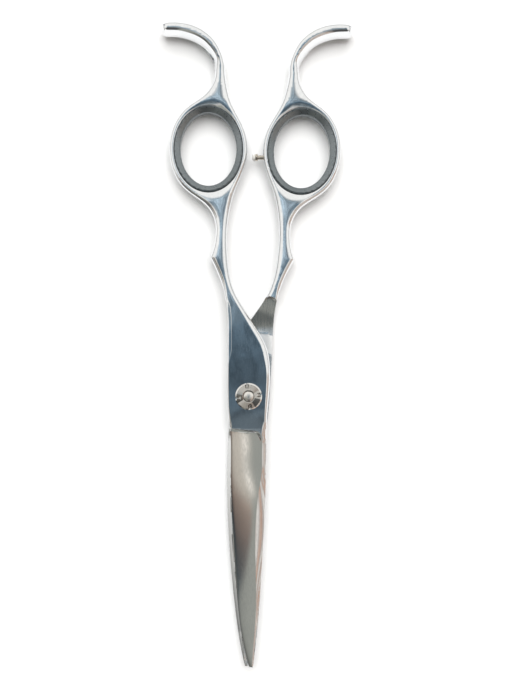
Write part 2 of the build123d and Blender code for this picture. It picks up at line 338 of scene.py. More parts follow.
def finish_mesh(mesh, sharp_angle, weld=False):
    """Drops unused points, and shades the mesh smooth except across its sharp edges."""
    bm = bmesh.new()
    bm.from_mesh(mesh)
    if weld:
        bmesh.ops.remove_doubles(bm, verts=bm.verts[:], dist=2e-7)
        bmesh.ops.recalc_face_normals(bm, faces=bm.faces[:])
    loose = [vert for vert in bm.verts if not vert.link_faces]
    bmesh.ops.delete(bm, geom=loose, context="VERTS")
    for face in bm.faces:
        face.smooth = True
    for edge in bm.edges:
        edge.smooth = edge.calc_face_angle(0) < math.radians(sharp_angle)
    bm.to_mesh(mesh)
    bm.free()
    return mesh


def add_piece(mesh, body, materials, replaced):
    """Puts a visual piece on its body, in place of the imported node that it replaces."""
    piece = bpy.data.objects.new(mesh.name, mesh)
    scene.collection.objects.link(piece)
    for material in materials:
        mesh.materials.append(material)
    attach(piece, body)
    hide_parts(replaced)


# ---- one forged half
class Half:
    """Outlines and heights of one half; face is +1 for the front one and -1 for the back one."""

    def __init__(self, name, face):
        self.name = name
        self.face = face
        self.side = -face
        self.outer, self.bore = self.outlines()
        self.ring_centre = (self.bore.min(0) + self.bore.max(0)) / 2
        self.edge_line, self.spine_line = self.blade_sides()
        self.ridge = self.ridge_line()
        self.round_width, self.round_drop = self.edge_rounds()

    def outlines(self):
        """Outline of the whole half and of its ring bore: both counter-clockwise, evenly spaced."""
        thick = cut_loops(self.name, self.face * BODY_CUT)
        thin = cut_loops(self.name, self.face * BLADE_CUT)[0]
        runs = []
        for loop, wanted in ((thick[0], thick[0][:, 1] > BODY_END), (thin, thin[:, 1] < BLADE_START)):
            if signed_area(loop) < 0:
                loop, wanted = loop[::-1], wanted[::-1]
            first = np.where(wanted & ~np.roll(wanted, 1))[0][0]
            runs.append(np.roll(loop, -first, 0)[np.roll(wanted, -first)])
        bore = thick[1] if signed_area(thick[1]) > 0 else thick[1][::-1]
        return fair(np.concatenate(runs)), fair(bore)

    def blade_sides(self):
        """Cutting edge and spine below the block, as (y, x) rows sorted by y."""
        low = self.outer[self.outer[:, 1] < 0]
        middle = low[low[:, 1] < low[:, 1].min() + 0.5].mean(0)
        centre = middle[0] * np.clip(low[:, 1] / middle[1], 0, 1)
        sides = []
        for sign in (self.side, -self.side):
            part = low[(low[:, 0] - centre) * sign > 0.25]
            sides.append(part[np.argsort(part[:, 1])][:, ::-1])
        return sides

    def x_edge(self, y):
        return np.interp(y, *self.edge_line.T)

    def x_spine(self, y):
        return np.interp(y, *self.spine_line.T)

    def ridge_line(self):
        """Stations (y, x, height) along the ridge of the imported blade, found by its highest points."""
        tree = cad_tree(self.name)
        rows = []
        for y in np.linspace(-13.0, self.outer[:, 1].min() + 0.6, 14):
            across = np.linspace(self.x_edge(y), self.x_spine(y), 220)[4:-4]
            heights = [self.face * surface_height(tree, x, y, self.face) for x in across]
            best = int(np.argmax(heights))
            inner = self.x_spine(y) + self.side * mix(SPINE_BEVEL, 0.3, smoothstep(-25, -60, y))
            ridge = self.side * max(self.side * across[best], self.side * inner)
            rows.append((y, ridge, heights[best]))
        return np.array(rows)[::-1]

    def ridge_at(self, y):
        """x and height of the ridge."""
        at = self.ridge[:, 0]
        return natural_spline(at, self.ridge[:, 1:], np.clip(y, at[0], at[-1])).T

    def edge_rounds(self):
        """Width and depth of the rounded side at each outline point, and of the facet inside it."""
        x, y = self.outer[:, 0] * self.side, self.outer[:, 1]
        heel = (x > 7.0 * np.clip(y, 0, 32.5) / 32.5) & (y < 60)
        handle = smoothstep(12, 36, y)
        heel_block = mix(0.75, 0.3, smoothstep(-10, -2, y))
        spine_block = mix(0.8, 1.15, smoothstep(-9, 4, y))
        spine_block += 0.55 * smoothstep(6, 14, y) * smoothstep(30, 20, y)
        heel_handle = smoothstep(26, 37, y)
        width = np.where(heel, mix(heel_block, 1.2, heel_handle), mix(spine_block, 1.25, handle))
        drop = np.where(heel, mix(heel_block, 1.15, heel_handle), 1.2)
        tang = smoothstep(self.ring_centre[1] + 16, self.ring_centre[1] + 27, y)
        facet = np.where(heel, 1.25 * smoothstep(34, 27, y) * smoothstep(8, 15, y), -1)
        self.facet = facet
        self.tang_slope = tang * smoothstep(0.0, 0.5, inward_normals(self.outer)[:, 1])
        return mix(width, 1.3, tang), mix(drop, 1.7, tang)

    def blade_frame(self, points):
        """Distance in from the cutting edge, blade width, and distance and height of the ridge."""
        y = points[:, 1]
        edge, spine = self.x_edge(y), self.x_spine(y)
        ridge_x, ridge_z = self.ridge_at(y)
        sign = -self.side
        return (points[:, 0] - edge) * sign, (spine - edge) * sign, (ridge_x - edge) * sign, ridge_z

    def thickness(self, points):
        """Height of the flat of block, shank, ring and tang above the meeting plane."""
        reach = np.linalg.norm(points - self.ring_centre, axis=1)
        above = points[:, 1] > self.ring_centre[1] + 10
        rise = smoothstep(22, 35, reach) * above
        return HALF_THICK + (TANG_HEIGHT - HALF_THICK) * rise

    def outer_height(self, points, handle_only=False):
        """Height of the outer surface above the meeting plane."""
        distance, index = nearest_on(self.outer, points)
        to_bore, _ = nearest_on(self.bore, points)
        side = rounded(distance, self.round_width[index], self.round_drop[index])
        height = self.thickness(points) - mix(side, tang_flank(distance), self.tang_slope[index])
        facet = np.clip(self.facet[index] - distance, 0, 2) * smoothstep(0.1, 0.5, self.facet[index])
        height -= 0.06 * facet + 0.006 * smoothstep(0, 0.2, facet)
        handle = smoothstep(26, 40, points[:, 1])
        height -= handle * 0.32 * np.clip(1 - distance / 3.2, 0, 1) ** 2
        height -= rounded(to_bore, 0.3, 0.3)
        height -= 0.55 * np.clip(1 - to_bore / 3.2, 0, 1) ** 2
        if handle_only:
            return height
        # Blade: a ground face from the cutting edge to the ridge, then a bevel to the spine.
        into, width, to_ridge, ridge_z = self.blade_frame(points)
        y = points[:, 1]
        share = np.clip(into / to_ridge, 0, 1)
        edge_z = 0.24
        ground = edge_z + (ridge_z - edge_z) * (share + 0.2 * share * (1 - share))
        ground -= np.clip(0.45 - into, 0, 1) * 0.07
        stock = mix(HALF_THICK, ridge_z, 1 - smoothstep(-15, -9.5, y))
        bevel = np.clip((into - to_ridge) / (width - to_ridge), 0, 1)
        wall = np.maximum(0.45 * ridge_z, stock - 0.82 * (width - to_ridge))
        spine = stock - (stock - wall) * (0.75 * bevel + 0.25 * bevel**2)
        block = mix(spine, height, smoothstep(-14, -7, y))
        down = SHOULDER_Y + 0.15 - 0.09 * (into - width / 2) - y
        corner = SHOULDER_CORNER
        from_ridge = to_ridge - into + 1.2 * smoothstep(-12.5, -16.5, y)
        inset = corner - np.hypot(np.maximum(corner - down, 0), np.maximum(corner - from_ridge, 0))
        cut = smoothstep(0, mix(0.35, 1.1, smoothstep(-26, -13, y)), inset)
        blade = mix(block, np.minimum(ground, block), cut)
        return np.where(y < 0, blade, height)

    def inner_height(self, points, outer):
        """Height of the inner surface, negative where the handle reaches past the meeting plane."""
        reach = np.linalg.norm(points, axis=1)
        y = points[:, 1]
        into, width, _, _ = self.blade_frame(points)
        below = 1 - smoothstep(-14, -9, y)
        across = np.clip((into - 0.5) / (width - 1.0), 0, 1)
        hollow = 0.12 * 4 * across * (1 - across) * below
        lip = np.minimum(1.3, 0.3 * width)
        chamfer = 0.74 * np.clip((lip - (width - into)) / 1.3, 0, 1) * below
        distance, _ = nearest_on(self.outer, points)
        spine_side = points[:, 0] * self.side < 0
        inner_edge = 0.6 * np.clip(1 - distance / 1.3, 0, 1) * spine_side * smoothstep(-9, -4, y)
        slope = 1.05 * np.clip((reach - RELIEF_START) / RELIEF_WIDTH, 0, 1)
        relief = np.maximum(slope, inner_edge) * (y > -9)
        relief = np.where(y > 0, relief, inner_edge)
        height = FACE_GAP + (hollow + chamfer) * (y < 0) + relief
        # The step up to the full handle: a circle about the pivot whose ends turn down at the sides.
        sweep = SWEEP_RADIUS - 0.9 * np.clip(1 - distance / 1.4, 0, 1) ** 2
        foot = 0.5
        rise = np.clip(reach - (sweep - foot), 0, foot) * (y > 0)
        height = height - (foot - np.sqrt(foot**2 - rise**2))
        past = smoothstep(sweep, sweep + 0.08, reach) * (y > 0)
        return mix(height, -outer, past)


def rounded(distance, width, drop):
    """How far a rounded side has dropped at a distance in from the edge."""
    t = 1 - np.clip(distance / width, 0, 1)
    return drop * (1 - np.sqrt(1 - t**2))


def tang_flank(distance):
    """The same for a tang's concave side: a steep, slightly bulging flank under a tight crest."""
    into = TANG_FLANK - distance
    past = np.maximum(into, 0)
    bulge = math.cos(TANG_STEEP) - np.sqrt(1 - (math.sin(TANG_STEEP) + past / TANG_CURVE) ** 2)
    bend = np.clip(into + TANG_CREST, 0, 2 * TANG_CREST) ** 2 / (4 * TANG_CREST)
    straight = bend + np.maximum(into - TANG_CREST, 0)
    return TANG_CURVE * bulge + math.tan(TANG_STEEP) * (straight - past)


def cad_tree(name):
    mesh = nodes[name].data
    verts = [tuple(v.co) for v in mesh.vertices]
    return BVHTree.FromPolygons(verts, [tuple(p.vertices) for p in mesh.polygons])


def surface_height(tree, x, y, face):
    hit = tree.ray_cast(Vector((x * MM, y * MM, face * 0.02)), Vector((0, 0, -face)))
    return hit[0].z / MM if hit[0] is not None else 0.0


def shoulder_row(half, inset):
    """Points where the ground face has run in by the same amount from the shoulder and the ridge."""
    corner = SHOULDER_CORNER
    turn = np.linspace(0, math.pi / 2, 24)
    down = corner - (corner - inset) * np.cos(turn)
    from_ridge = corner - (corner - inset) * np.sin(turn)
    down = np.concatenate([np.full(60, inset), down, np.arange(corner, 7, 0.2)])
    from_ridge = np.concatenate([np.linspace(11, corner, 60), from_ridge, np.full(len(down) - 84, inset)])
    y = SHOULDER_Y - down
    for _ in range(3):
        at_ridge, _ = half.ridge_at(y)
        edge, spine = half.x_edge(y), half.x_spine(y)
        into = (at_ridge - edge) * -half.side - from_ridge
        y = SHOULDER_Y + 0.15 - 0.09 * (into - (spine - edge) * -half.side / 2) - down
    return np.column_stack([edge - half.side * into, y])


def build_half(name, face, centre_hole, pocket):
    """One forged half: one shell over a triangulated plan. A pocket is (radius, height of its floor)."""
    half = Half(name, face)
    outer = half.outer
    normals = inward_normals(outer)
    handle = outer[:, 1] > -8
    fractions = 1 - np.cos(np.radians(np.arange(1, 8) * 90 / 7))
    free = []

    def follow(depth, wanted, slack=0.02):
        """A row of points at a depth inside the outline, without those too close to another side."""
        ring = (outer + normals * depth[:, None])[wanted]
        free.append(ring[nearest_on(outer, ring)[0] > depth[wanted] - slack])

    for share in fractions:
        follow(share * half.round_width, handle, 0.03)
    flat_side = handle & (outer[:, 1] < half.ring_centre[1] + 16)
    for extra in (0.06, 0.16):
        follow(half.round_width + extra, flat_side)
    flank = half.tang_slope > 0.05
    crest = np.linspace(TANG_FLANK - TANG_CREST, TANG_FLANK + TANG_CREST, 7)
    for depth in [0.12, 0.3, 0.55, 0.85, 1.0] + list(crest):
        follow(np.full(len(outer), depth), flank)
    creased = half.facet > 0.3
    for depth in (-0.06, 0.0, 0.06, 0.13, 0.2, 0.26):
        free.append((outer + normals * (half.facet - depth)[:, None])[creased])
    bore_normals = -inward_normals(half.bore)
    for depth in (0.03, 0.09, 0.17, 0.3, 0.6, 0.9, 1.3, 1.8, 2.4, 3.0, 3.3):
        free.append(half.bore + bore_normals * depth)
    for radius in [SWEEP_RADIUS + d for d in (-1.35, -1.2, -0.9, -0.6, -0.35, -0.15, -0.05, 0.0, 0.08, 0.3)]:
        ring = circle(radius, 720)
        distance, _ = nearest_on(outer, ring)
        bend = 0.9 * np.clip(1 - distance / 1.4, 0, 1) ** 2
        free.append(ring * (1 - bend / radius)[:, None])
    free += [shoulder_row(half, inset) for inset in (0, 0.03, 0.07, 0.12, 0.2, 0.35, 0.55, 0.8, 1.1)]
    for radius, _ in pocket:
        free += [circle(radius - PAIR_INNER, 96), circle(radius + PAIR_OUTER, 96)]
    # Blade points: rows across at each station, and a finer patch at the shoulder.
    stations = np.arange(-12.0, outer[:, 1].min() + 0.1, -0.45)
    edge, spine = half.x_edge(stations), half.x_spine(stations)
    ridge_x, _ = half.ridge_at(stations)
    for share in (0.03, 0.07, 0.14, 0.24, 0.36, 0.48, 0.6, 0.72, 0.84, 0.93):
        free.append(np.column_stack([mix(edge, ridge_x, share), stations]))
    for share in (0.15, 0.35, 0.55, 0.75, 0.9):
        free.append(np.column_stack([mix(ridge_x, spine, share), stations]))
    ridge_y = np.arange(-12.6, outer[:, 1].min() + 0.25, -0.3)
    ridge = np.column_stack([half.ridge_at(ridge_y)[0], ridge_y])
    free.append(grid(-7.5, 7.5, -16.5, -8.0, 0.3))
    low, high = outer.min(0), outer.max(0)
    free.append(grid(low[0], high[0], -8, high[1], 0.8))
    hole = circle(centre_hole, 96)
    points = thin_out(np.concatenate(free), 0.04)
    distance, _ = nearest_on(outer, points)
    keep = inside(outer, points) & (distance > 0.012) & ~inside(half.bore, points)
    keep &= nearest_on(half.bore, points)[0] > 0.02
    keep &= np.hypot(points[:, 0], points[:, 1]) > centre_hole + 0.02
    keep &= nearest_on(np.concatenate([ridge, ridge[::-1]]), points)[0] > 0.05
    points = points[keep]
    plan, triangles = plan_triangles(outer, [half.bore, hole], [ridge], points)
    top = half.outer_height(plan)
    reach = np.hypot(plan[:, 0], plan[:, 1])
    inner = half.inner_height(plan, half.outer_height(plan, handle_only=True))
    for radius, floor in pocket:
        within = 1 - smoothstep(radius - PAIR_INNER, radius + PAIR_OUTER, reach)
        if floor > HALF_THICK / 2:
            top = mix(top, floor, within)
        else:
            inner = mix(inner, floor, within)
    top = np.maximum(top, inner + 0.04)
    mesh = plate_mesh(name + "_forged", plan, triangles, face * top, face * inner, face < 0)
    return finish_mesh(mesh, 24), half


# ---- finger inserts
def build_insert(name, bore):
    """Rounded oval ring that lines a ring bore, with a row of small grip teeth along both rims."""
    outer = bore + inward_normals(bore) * 0.02
    crest = INSERT_HALF_HEIGHT - 0.24
    wall, corner = 1.95, 0.7
    # Section from the seam over the crest, down a funnel to the inner wall: (depth in, height).
    section = [(0.0, 1.5), (0.0, 1.8), (0.1, 2.12), (0.22, 2.38), (0.36, crest)]
    section += [(depth, crest - FUNNEL * (depth - 0.42)) for depth in (0.5, 0.85, 1.25)]
    end = crest - FUNNEL * (wall - 0.5 * corner - 0.42)
    section += arc_rows(wall - corner, end - corner * math.sin(math.radians(60)), corner, 60, 0, 7)
    section += [(wall, 0.5), (wall, 0.0)]
    rows = section + [(depth, -height) for depth, height in section[-2::-1]]
    normals = inward_normals(outer)
    along = distances_along(outer)
    length = along[-1] + np.linalg.norm(outer[0] - outer[-1])
    teeth = round(length / 1.9)
    phase = np.cos(along / length * teeth * 2 * math.pi)
    tooth = smoothstep(-0.25, 0.25, phase)
    verts = []
    for depth, height in rows:
        rim = smoothstep(2.0, 2.3, abs(height)) * (1 - smoothstep(0.1, 0.5, depth))
        inset = depth + rim * (1 - tooth) * 0.24
        lift = np.sign(height) * rim * tooth * 0.05
        ring = outer + normals * inset[:, None]
        verts.append(np.column_stack([ring, height + lift]))
    faces = [(a, d, c, b) for a, b, c, d in ring_faces(len(rows), len(outer))]
    return finish_mesh(new_mesh(name, np.concatenate(verts), faces), 50)


# ---- turned parts
def turned_mesh(name, rows, count=192, sharp_angle=32):
    """Closed mesh of rings about Z. A row is (radius, height), numbers or arrays over the ring's angles."""
    angle = np.arange(count) * 2 * np.pi / count
    verts = []
    for radius, height in rows:
        x, y = radius * np.cos(angle), radius * np.sin(angle)
        verts.append(np.column_stack([x, y, np.broadcast_to(height, x.shape)]))
    verts = np.concatenate(verts)
    capped = np.allclose(verts[:count, :2], 0)
    mesh = new_mesh(name, verts, ring_faces(len(rows), count, not capped))
    return finish_mesh(mesh, sharp_angle, weld=True)


def arc_rows(radius, height, size, first, last, count=6):
    """Rows of a rounded rim of this size, whose centre is at (radius, height), between two angles."""
    return [(radius + size * math.cos(a), height + size * math.sin(a))
            for a in np.radians(np.linspace(first, last, count))]


def build_dial():
    """Tension dial: a low eight-sided cone with a chamfered rim painted lighter as a highlight, and four
    round-ended notches.
    """
    low, high = node_box("tension_dial")
    rim, base, top = high[0], low[2], high[2]
    count = 360
    angle = np.arange(count) * 2 * np.pi / count
    turn = math.radians(9)
    sector = np.abs(((angle - turn) / (math.pi / 4) + 0.5) % 2 - 1)
    radii = [DIAL_HOLE, DIAL_HOLE + 0.06, DIAL_HOLE + 0.14, DIAL_HOLE + 0.22]
    radii += list(np.linspace(DIAL_HOLE + 0.3, rim - DIAL_CHAMFER - 0.1, 16))
    radii += [rim - DIAL_CHAMFER * share for share in (1.04, 1.0, 0.75, 0.5, 0.25, 0.08, 0.0)]
    rows = [(DIAL_HOLE, base + 0.05), (DIAL_HOLE + 0.05, base), (rim - 0.1, base), (rim, base + 0.1)]
    upper = []
    for radius in radii:
        share = (radius - DIAL_HOLE) / (rim - DIAL_HOLE)
        height = top - 0.2 - 0.32 * share + 0.66 * (sector - 0.5) * radius / rim
        chamfer = max(0.0, radius - (rim - DIAL_CHAMFER))
        height = height - 0.6 * chamfer - 0.6 * max(0.0, DIAL_HOLE + 0.22 - radius)
        x, y = radius * np.cos(angle - turn), radius * np.sin(angle - turn)
        u, v = np.maximum(np.abs(x), np.abs(y)), np.minimum(np.abs(x), np.abs(y))
        inner_end = rim - 1.9 + 0.55
        gap = np.hypot(np.minimum(u - inner_end, 0), v)
        notch = np.clip(1 - (gap / NOTCH_WIDTH) ** 4, 0, 1) ** 0.5
        scoop = np.clip(inner_end + 0.7 - u, 0, 1.3) ** 2
        floor = top - 1.3 + 0.14 * (v / NOTCH_WIDTH) ** 2 + 0.85 * scoop
        upper.append((radius, mix(np.minimum(height, top), np.minimum(height, floor), notch)))
    mesh = turned_mesh("pivot_dial", rows + upper[::-1], count, 28)
    # The chamfer takes the second material: a finer polish, and a lighter colour that is a painted
    # highlight.
    for poly in mesh.polygons:
        poly.material_index = int(poly.center.xy.length / MM > rim - DIAL_CHAMFER)
    return mesh


def build_bolt():
    """Pivot bolt: a slotted head in the back half, a neck with two flats, and a domed threaded end."""
    low, high = node_box("pivot_bolt")
    base, top = low[2], high[2]
    head, thread, neck, flats = high[0], 1.7, 2.3, 1.95
    count = 240
    angle = np.arange(count) * 2 * np.pi / count
    rows = [(0.0, top)]
    rows += [(thread * math.sin(a), top - 0.62 * (1 - math.cos(a))) for a in np.radians(np.arange(8, 89, 8))]
    rows += [(thread, top - 0.66)]
    for i in range(6):
        z = top - 0.8 - 0.2 * i
        rows += [(thread - 0.09, z), (thread, z - 0.1)]
    shoulder = HALF_THICK - 0.7
    flatted = np.minimum(neck, flats / np.maximum(np.abs(np.sin(angle)), 1e-3))
    rows += [(thread, shoulder), (neck, shoulder), (neck, 0.02), (flatted, 0.0), (flatted, base + 0.9)]
    rows += arc_rows(head - 0.08, base + 0.82, 0.08, 90, 0, 4)
    rows += arc_rows(head - 0.2, base + 0.2, 0.2, 0, -90, 6)
    # The slot in the head needs close rows at its ends and sides.
    for radius in (3.3, 3.0, 2.7, 2.5, 2.37, 2.33, 2.2, 1.9, 1.6,
                   1.3, 1.0, 0.8, 0.62, 0.5, 0.44, 0.4, 0.36, 0.2):
        across = np.abs(radius * np.sin(angle))
        along = np.abs(radius * np.cos(angle))
        slot = 1 - smoothstep(SLOT_WIDTH - 0.04, SLOT_WIDTH + 0.04, across)
        slot *= 1 - smoothstep(SLOT_LENGTH - 0.04, SLOT_LENGTH + 0.04, along)
        rows.append((radius, base + 0.4 * slot))
    rows.append((0.0, base + 0.4))
    return turned_mesh("pivot_bolt_turned", rows, count)


def build_bumper():
    """Closing bumper on the back ring: a metal stem with a collar, and a soft rounded cap on its end."""
    low, high = node_box("bumper_stem")
    collar, tip = high[2], low[0]
    cap_low, cap_high = node_box("bumper_cap")
    across_y, end = (low[1] + high[1]) / 2, high[0]
    neck = 0.675
    stem = [(0.0, tip), (neck - 0.1, tip)] + arc_rows(neck - 0.1, tip + 0.1, 0.1, -90, 0, 4)
    front = cap_high[0]
    stem += [(neck, front)] + arc_rows(collar - 0.12, front + 0.14, 0.12, -90, 0, 5)
    stem += arc_rows(collar - 0.12, front + 0.63, 0.12, 0, 90, 5)
    stem += [(neck + 0.12, front + 0.77)]
    stem += [(neck + 0.12 - 0.12 * math.sin(a), front + 0.89 - 0.12 * math.cos(a))
             for a in np.radians((30, 60, 90))]
    stem += [(neck, end - 0.1), (neck - 0.1, end), (0.0, end)]
    radius = cap_high[2]
    cap = [(0.0, cap_low[0])] + arc_rows(radius - 0.55, cap_low[0] + 0.5, 0.5, -90, 0, 9)
    cap += arc_rows(radius - 0.15, front - 0.16, 0.15, 0, 90, 5)
    cap += [(neck + 0.03, front - 0.01), (neck + 0.03, tip - 0.02)]
    cap += [(neck - 0.1, tip - 0.03), (0.0, tip - 0.03)]
    for name, rows in (("bumper_stem_turned", stem), ("bumper_cap_moulded", cap)):
        mesh = turned_mesh(name, rows, 96)
        for vert in mesh.vertices:
            x, y, z = vert.co
            vert.co = (z, across_y * MM + x, y)
        yield mesh


# ---- materials
class Nodes:
    """Short way to add and link shader nodes."""

    def __init__(self, tree):
        self.tree = tree

    def add(self, kind, inputs=None, **settings):
        node = self.tree.nodes.new(kind)
        for key, value in settings.items():
            setattr(node, key, value)
        self.put(node, inputs or {})
        return node

    def put(self, node, inputs):
        for key, value in inputs.items():
            self.set(node.inputs[key], value)

    def set(self, socket, value):
        if isinstance(value, bpy.types.NodeSocket):
            self.tree.links.new(value, socket)
        elif isinstance(value, (tuple, list)) and len(value) == 3 and socket.type == "RGBA":
            socket.default_value = (*value, 1)
        else:
            socket.default_value = value

    def math(self, operation, *values):
        node = self.tree.nodes.new("ShaderNodeMath")
        node.operation = operation
        for socket, value in zip(node.inputs, values):
            self.set(socket, value)
        return node.outputs[0]

    def remap(self, value, low, high, to_low=0.0, to_high=1.0, smooth=True):
        node = self.add("ShaderNodeMapRange", {"Value": value, "From Min": low, "From Max": high,
                                               "To Min": to_low, "To Max": to_high})
        node.interpolation_type = "SMOOTHSTEP" if smooth else "LINEAR"
        return node.outputs["Result"]

    def mix(self, factor, a, b):
        node = self.add("ShaderNodeMix", data_type="RGBA")
        self.set(node.inputs["Factor"], factor)
        self.set(node.inputs["A"], a if not isinstance(a, tuple) else (*a, 1))
        self.set(node.inputs["B"], b if not isinstance(b, tuple) else (*b, 1))
        return node.outputs["Result"]

    def noise(self, vector, scale, detail=2.0, roughness=0.5):
        node = self.add("ShaderNodeTexNoise", {"Vector": vector, "Scale": scale, "Detail": detail,
                                               "Roughness": roughness})
        return node.outputs["Fac"]

    def bump(self, height, strength, distance, normal=None):
        inputs = {"Height": height, "Strength": strength, "Distance": distance}
        if normal:
            inputs["Normal"] = normal
        return self.add("ShaderNodeBump", inputs).outputs[0]

    def blend(self, a, b, share, low, high):
        """A weighted sum of two noises, spread from low..high to 0..1."""
        total = self.math("ADD", self.math("MULTIPLY", a, share), self.math("MULTIPLY", b, 1 - share))
        return self.remap(total, low, high)

    def vector(self, operation, a, b, key=1):
        return self.add("ShaderNodeVectorMath", {0: a, key: b}, operation=operation).outputs[0]

    def scaled(self, colour, factor):
        return self.vector("SCALE", colour, factor, "Scale")

    def axes(self, vector):
        return self.add("ShaderNodeSeparateXYZ", {"Vector": vector}).outputs

    def stretched(self, scale=(1, 1, 1)):
        """Object coordinates, stretched by a factor along each axis."""
        place = self.add("ShaderNodeTexCoord").outputs["Object"]
        return self.add("ShaderNodeMapping", {"Vector": place, "Scale": scale}).outputs[0]


def new_material(name):
    material = bpy.data.materials.new(name)
    material.use_nodes = True
    tree = material.node_tree
    return material, Nodes(tree), tree.nodes["Principled BSDF"]


def metal(name, colour, tint, roughness, grain, relief, wave=None):
    """Metal whose colour and roughness vary with a fine grain, over a slow unevenness of the polish.

    A wave makes the flat of the block and handles swell a little; it fades out on the blades.
    """
    material, tree, shader = new_material(name)
    fine = tree.noise(tree.stretched(grain), 3.0, 4.0)
    slow = tree.noise(tree.stretched(), 90.0)
    shade = tree.blend(fine, slow, 0.5, 0.35, 0.65)
    if wave:
        swell = tree.noise(tree.stretched((1, 0.7, 1)), 85.0, 1.0)
        along = tree.axes(tree.stretched())["Y"]
        swell = tree.math("MULTIPLY", swell, tree.remap(along, -0.012, -0.002, 0.02, 1.0))
        wave = tree.bump(swell, 1.0, wave)
    tree.put(shader, {"Base Color": tree.mix(shade, colour, tint), "Metallic": 1.0,
                      "Roughness": tree.remap(fine, 0.3, 0.7, roughness * 0.65, roughness * 1.35),
                      "Normal": tree.bump(fine, 0.6, relief, wave)})
    return material


def satin_steel():
    """Inner faces: ground across in fine vertical lines, greyer and warmer than the polished steel."""
    material, tree, shader = new_material("ground_steel")
    lines = tree.noise(tree.stretched((9000, 320, 600)), 1.0, roughness=0.6)
    slow = tree.noise(tree.stretched((300, 200, 200)), 1.0, 1.0)
    shade = tree.blend(lines, slow, 0.7, 0.3, 0.7)
    # The part of the back half's inner face in view has painted shade in a slanting band, and is painted
    # lighter below it as a highlight.
    across, along, _ = tree.axes(tree.stretched())
    aslant = tree.math("MULTIPLY_ADD", across, 0.5, along)
    # Painted shade: a darker slanting band across the brushed block.
    painted_shade_band = tree.math("MULTIPLY", tree.remap(aslant, 0.0300, 0.0275), tree.remap(along, 0.0205, 0.0245))
    # Painted highlight: the face turns pale towards the relief step; its roughness stays that of the ground
    # steel.
    painted_light_below = tree.remap(along, 0.0222, 0.0202, 0.0, 0.8)
    colour = tree.mix(shade, (0.50, 0.47, 0.41), (0.61, 0.58, 0.52))
    colour = tree.mix(painted_shade_band, colour, (0.30, 0.295, 0.27))
    tree.put(shader, {"Base Color": tree.mix(painted_light_below, colour, (0.93, 0.95, 0.96)), "Metallic": 1.0,
                      "Roughness": tree.remap(lines, 0.3, 0.7, 0.25, 0.33),
                      "Normal": tree.bump(lines, 0.3, 0.00001)})
    return material


def soft_grip():
    """Finger inserts: dark grey moulding with a satin, almost metallic sheen."""
    material, tree, shader = new_material("grey_moulding")
    mottle = tree.noise(tree.stretched(), 900.0, 4.0)
    slow = tree.noise(tree.stretched(), 120.0)
    shade = tree.blend(mottle, slow, 0.4, 0.35, 0.65)
    tree.put(shader, {"Base Color": tree.mix(shade, (0.215, 0.242, 0.255), (0.265, 0.292, 0.305)),
                      "Metallic": 0.9, "Roughness": tree.remap(mottle, 0.3, 0.7, 0.26, 0.36),
                      "Normal": tree.bump(mottle, 0.2, 0.000006)})
    return material


def plastic(name, scale, detail, colour, tint, low, high, extra=None):
    """Moulded plastic, a little uneven in its colour and in its roughness from low to high."""
    material, tree, shader = new_material(name)
    slow = tree.noise(tree.stretched(), scale, detail)
    tree.put(shader, {"Base Color": tree.mix(slow, colour, tint),
                      "Roughness": tree.remap(slow, 0.3, 0.7, low, high), **(extra or {})})
    return material


polished = metal("polished_steel_look", (0.86, 0.87, 0.88), (0.80, 0.815, 0.83), 0.075, (900, 250, 600),
                 0.000002, 0.0003)
ground = satin_steel()
grip = soft_grip()
nickel = metal("nickel_look", (0.50, 0.485, 0.46), (0.42, 0.41, 0.385), 0.16, (1500, 1500, 900), 0.000008)
# Copy of the nickel for the dial's chamfer: a real finer polish, and a near-white colour that is a painted
# highlight.
nickel_with_painted_highlight = metal("nickel_painted_highlight_look", (0.93, 0.92, 0.90), (0.86, 0.85, 0.83), 0.08,
                      (1500, 1500, 900), 0.000002)
turned = metal("turned_steel_look", (0.84, 0.82, 0.78), (0.75, 0.73, 0.70), 0.3, (1800, 1800, 900), 0.000008)
dark_metal = metal("bumper_metal_look", (0.50, 0.45, 0.38), (0.62, 0.57, 0.50), 0.22,
                   (2500, 2500, 2500), 0.00001)
spring = metal("spring_look", (0.42, 0.43, 0.45), (0.33, 0.33, 0.34), 0.28, (1500, 1500, 1500), 0.00001)
bronze = metal("bronze_look", (0.62, 0.43, 0.22), (0.50, 0.33, 0.16), 0.3, (1500, 1500, 500), 0.00001)
silicone = plastic("pale_silicone", 900.0, 2.0, (0.80, 0.79, 0.74), (0.92, 0.91, 0.88), 0.25, 0.4,
                   {"Transmission Weight": 0.35, "IOR": 1.42})
acetal = plastic("washer_acetal", 600.0, 3.0, (0.70, 0.69, 0.64), (0.80, 0.79, 0.75), 0.3, 0.5)


def repaint(name, material):
    mesh = nodes[name].data
    mesh.materials.clear()
    mesh.materials.append(material)


# ---- the pieces
def paint_inner(mesh, face):
    """Inner faces inside the cleared zone, and the blades' inner faces, take the second material."""
    for poly in mesh.polygons:
        inward = poly.normal.z * face < -0.5
        centre = poly.center / MM
        reach = centre.xy.length
        cleared = reach < SWEEP_RADIUS + 0.05 or centre.y < 0
        brushed = centre.y < 0 or reach > RELIEF_START + RELIEF_WIDTH + 0.1 or reach < RELIEF_START
        if inward and cleared and brushed and abs(poly.normal.z) > 0.93 and -0.7 < centre.z * face < 1.6:
            poly.material_index = 1


